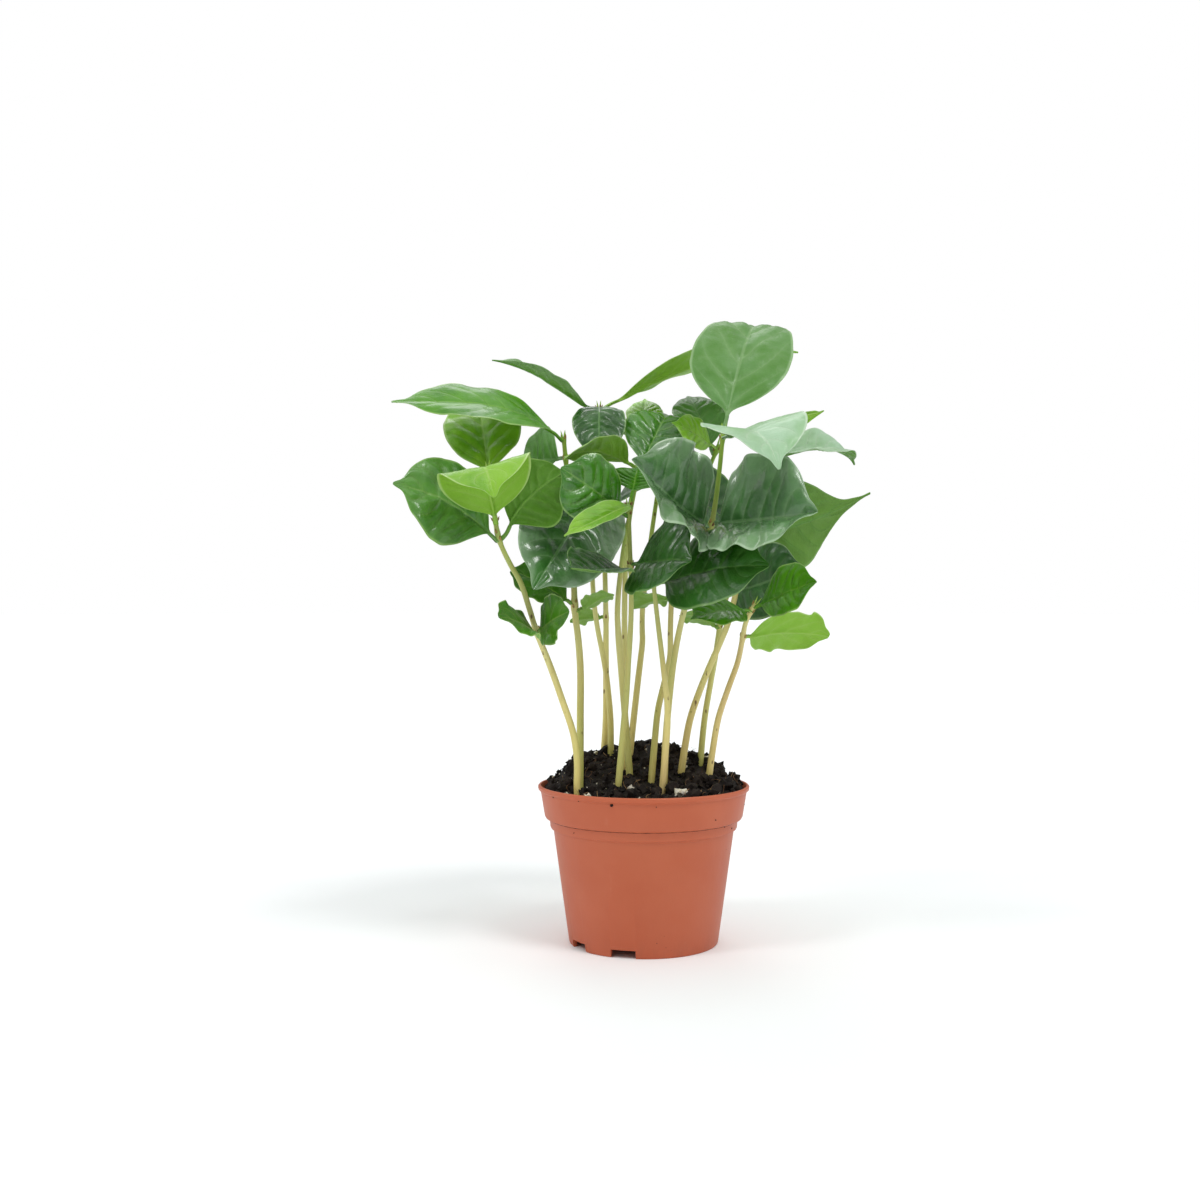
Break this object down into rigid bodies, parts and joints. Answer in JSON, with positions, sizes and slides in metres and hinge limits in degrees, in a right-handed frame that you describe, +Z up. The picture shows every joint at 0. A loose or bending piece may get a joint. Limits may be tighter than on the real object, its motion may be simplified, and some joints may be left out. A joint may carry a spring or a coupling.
{
  "type": "potted coffee plant",
  "caption": "Bunch of coffee seedlings with glossy ribbed leaves on slender bare stems, growing in dark soil in a small round plastic grow pot.",
  "frame": {"origin": "middle of the pot's foot, on the surface the pot stands on", "axes": "+Z up along the pot's axis, -Y towards the front of the plant, +X to the right seen from the front"},
  "size_m": [0.2043, 0.1461, 0.268],
  "materials": {
    "pot_plastic": "terracotta-coloured moulded plastic, satin",
    "soil": "moist dark peat with fibres and white grains",
    "stem": "smooth tan-yellow young stem, greener above",
    "leaf_mature": "dark green leaf, glossy above, ribbed and quilted",
    "leaf_young": "young bright green leaf, glossy",
    "seed_leaf": "rounded seed leaf, satin, wavy margin"
  },
  "bodies": {
    "root": {"grow_pot": "pot_plastic", "soil": "soil", "stem_01": "stem", "stem_02": "stem", "stem_03": "stem", "stem_04": "stem", "stem_05": "stem", "stem_06": "stem", "stem_07": "stem", "stem_08": "stem", "stem_09": "stem", "stem_10": "stem", "stem_11": "stem", "stem_12": "stem", "stem_13": "stem", "stem_14": "stem", "leaf_01_low_left": "leaf_mature", "leaf_01_low_right": "leaf_mature", "leaf_01_young": "leaf_young", "leaf_01_top": "leaf_young", "seed_leaf_01_left": "seed_leaf", "seed_leaf_01_right": "seed_leaf", "leaf_02_left": "leaf_young", "leaf_02_right": "leaf_mature", "seed_leaf_02_left": "seed_leaf", "seed_leaf_02_right": "seed_leaf", "leaf_03_left": "leaf_mature", "leaf_03_right": "leaf_young", "leaf_03_front": "leaf_mature", "seed_leaf_03": "seed_leaf", "leaf_04_front": "leaf_mature", "leaf_04_back": "leaf_mature", "leaf_05_right": "leaf_mature", "leaf_05_left": "leaf_mature", "leaf_05_young": "leaf_young", "leaf_05_top": "leaf_mature", "leaf_05_upper": "leaf_young", "leaf_06_left": "leaf_young", "leaf_06_right": "leaf_young", "leaf_07_left": "leaf_mature", "leaf_07_right": "leaf_young", "leaf_08_left": "leaf_mature", "leaf_08_right": "leaf_mature", "leaf_09_right": "leaf_mature", "seed_leaf_10_left": "seed_leaf", "leaf_10_left": "leaf_young", "leaf_10_right": "leaf_mature", "leaf_11_low_right": "leaf_mature", "leaf_11_low_left": "leaf_mature", "leaf_11_top_back": "leaf_young", "leaf_11_top_front": "leaf_young", "leaf_12_low_right": "leaf_mature", "leaf_12_top_right": "leaf_young", "leaf_12_top_front": "leaf_young", "leaf_13_front": "leaf_mature", "leaf_13_back": "leaf_mature", "leaf_14_left": "leaf_mature", "leaf_14_right": "leaf_mature", "seed_leaf_13": "seed_leaf", "seed_leaf_14_right": "seed_leaf"}
  },
  "joints": []
}
